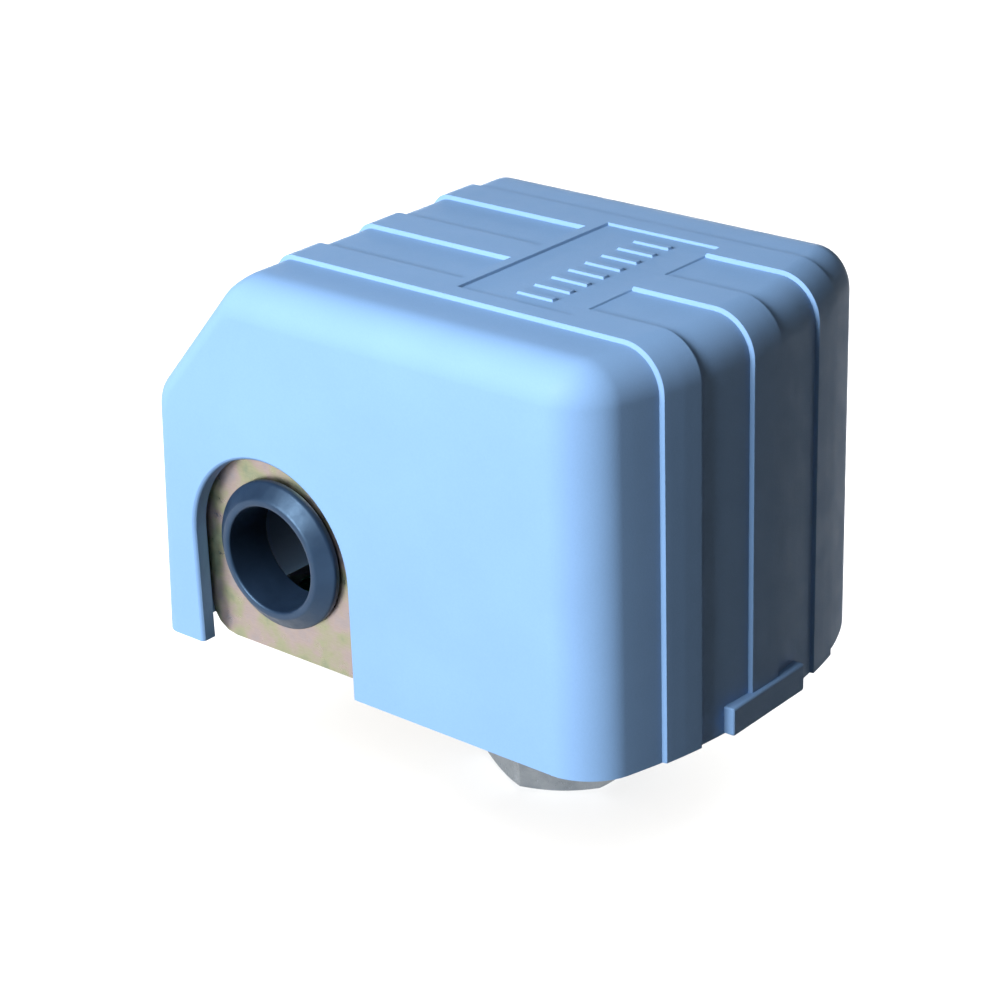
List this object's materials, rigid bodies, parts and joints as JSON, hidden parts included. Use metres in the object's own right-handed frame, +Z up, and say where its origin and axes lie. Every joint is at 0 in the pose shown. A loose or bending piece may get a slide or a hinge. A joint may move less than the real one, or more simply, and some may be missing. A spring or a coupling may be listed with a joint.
{
  "type": "pressure switch",
  "caption": "Diaphragm pressure switch with a chamfered ribbed cover, side conduit bushings, a hex pressure port and lever contacts.",
  "frame": {"origin": "centre of the pressure port at its lower face", "axes": "+Z up out of the port towards the cover's top, +X along the long side away from the conduit bushings, -Y the front"},
  "size_m": [0.0959, 0.0684, 0.0852],
  "materials": {
    "cover_plastic": "satin moulded",
    "yellow_zinc": "yellow zinc chromate",
    "black_rubber": "moulded rubber",
    "bright_zinc": "bright zinc",
    "spring_steel": "drawn wire",
    "black_phenolic": "phenolic moulding",
    "brass": "turned and stamped",
    "white_nylon": "nylon",
    "green_screw": "green lacquer"
  },
  "bodies": {
    "frame": {"bracket": "yellow_zinc", "conduit_bushing_front": "black_rubber", "conduit_bushing_rear": "black_rubber", "port_body": "bright_zinc", "housing_screw_1": "bright_zinc", "housing_screw_2": "bright_zinc", "housing_screw_3": "bright_zinc", "housing_screw_4": "bright_zinc", "diaphragm": "black_rubber", "clamp_ring": "bright_zinc", "pivot_pin": "spring_steel", "pin_clip": "spring_steel", "range_stud": "bright_zinc", "range_spring": "spring_steel", "differential_stud": "bright_zinc", "differential_spring": "spring_steel", "contact_block": "black_phenolic", "block_screw_1": "bright_zinc", "block_screw_2": "bright_zinc", "terminal_plate_1": "brass", "terminal_plate_2": "brass", "terminal_plate_3": "brass", "terminal_plate_4": "brass", "wire_clamp_1": "bright_zinc", "wire_clamp_2": "bright_zinc", "wire_clamp_3": "bright_zinc", "wire_clamp_4": "bright_zinc", "cover_stud": "bright_zinc"},
    "cover": {"cover": "cover_plastic"},
    "cover_nut": {"cover_nut": "bright_zinc"},
    "lever": {"lever": "yellow_zinc"},
    "plunger": {"plunger": "white_nylon"},
    "contact_carrier": {"contact_carrier": "black_phenolic", "contact_bridge_1": "brass", "contact_bridge_2": "brass", "contact_spring_1": "spring_steel", "contact_spring_2": "spring_steel"},
    "range_seat": {"range_seat": "bright_zinc"},
    "range_nut": {"range_nut": "brass"},
    "differential_seat": {"differential_seat": "bright_zinc"},
    "differential_nut": {"differential_nut": "brass"},
    "terminal_screw_1": {"terminal_screw_1": "brass"},
    "terminal_screw_2": {"terminal_screw_2": "brass"},
    "terminal_screw_3": {"terminal_screw_3": "brass"},
    "terminal_screw_4": {"terminal_screw_4": "brass"},
    "earth_screw_1": {"earth_screw_1": "green_screw"},
    "earth_screw_2": {"earth_screw_2": "green_screw"}
  },
  "joints": [
    {"name": "cover_lift", "type": "slide", "parent": "frame", "child": "cover", "axis": [0, 0, 1], "range_m": [0, 0.09]},
    {"name": "cover_nut_turn", "type": "hinge", "parent": "cover", "child": "cover_nut", "pos_m": [-0.043, 0, 0.068], "axis": [0, 0, 1], "continuous": true},
    {"name": "lever_tilt", "type": "hinge", "parent": "frame", "child": "lever", "pos_m": [0.028, 0, 0.0336], "axis": [0, 1, 0], "range_deg": [0, 1.4], "stiffness_Nm_per_rad": 0.5, "springref_deg": -3.44},
    {"name": "plunger_slide", "type": "slide", "parent": "frame", "child": "plunger", "axis": [0, 0, 1], "range_m": [0, 0.0007], "deforming": ["diaphragm"]},
    {"name": "carrier_slide", "type": "slide", "parent": "frame", "child": "contact_carrier", "axis": [0, 0, 1], "range_m": [0, 0.0012]},
    {"name": "range_seat_slide", "type": "slide", "parent": "frame", "child": "range_seat", "axis": [0, 0, 1], "range_m": [-0.004, 0], "deforming": ["range_spring"]},
    {"name": "range_nut_turn", "type": "hinge", "parent": "range_seat", "child": "range_nut", "pos_m": [0.013, 0, 0.061], "axis": [0, 0, 1], "range_deg": [-1440, 0]},
    {"name": "differential_seat_slide", "type": "slide", "parent": "frame", "child": "differential_seat", "axis": [0, 0, 1], "range_m": [-0.003, 0], "deforming": ["differential_spring"]},
    {"name": "differential_nut_turn", "type": "hinge", "parent": "differential_seat", "child": "differential_nut", "pos_m": [-0.009, 0, 0.0543], "axis": [0, 0, 1], "range_deg": [-1080, 0]},
    {"name": "terminal_screw_turn_1", "type": "hinge", "parent": "frame", "child": "terminal_screw_1", "pos_m": [-0.033, -0.017, 0.0641], "axis": [0, 0, 1], "continuous": true},
    {"name": "terminal_screw_turn_2", "type": "hinge", "parent": "frame", "child": "terminal_screw_2", "pos_m": [-0.033, -0.006, 0.0641], "axis": [0, 0, 1], "continuous": true},
    {"name": "terminal_screw_turn_3", "type": "hinge", "parent": "frame", "child": "terminal_screw_3", "pos_m": [-0.033, 0.006, 0.0641], "axis": [0, 0, 1], "continuous": true},
    {"name": "terminal_screw_turn_4", "type": "hinge", "parent": "frame", "child": "terminal_screw_4", "pos_m": [-0.033, 0.017, 0.0641], "axis": [0, 0, 1], "continuous": true},
    {"name": "earth_screw_turn_1", "type": "hinge", "parent": "frame", "child": "earth_screw_1", "pos_m": [-0.04, -0.014, 0.0242], "axis": [0, 0, 1], "continuous": true},
    {"name": "earth_screw_turn_2", "type": "hinge", "parent": "frame", "child": "earth_screw_2", "pos_m": [-0.04, 0.014, 0.0242], "axis": [0, 0, 1], "continuous": true}
  ],
  "couplings": [
    {"joint": "plunger_slide", "follows": "lever_tilt", "m_per_rad": 0.028},
    {"joint": "carrier_slide", "follows": "lever_tilt", "m_per_rad": 0.0435},
    {"joint": "range_nut_turn", "follows": "range_seat_slide", "rad_per_m": 6283.2},
    {"joint": "differential_nut_turn", "follows": "differential_seat_slide", "rad_per_m": 6283.2}
  ]
}
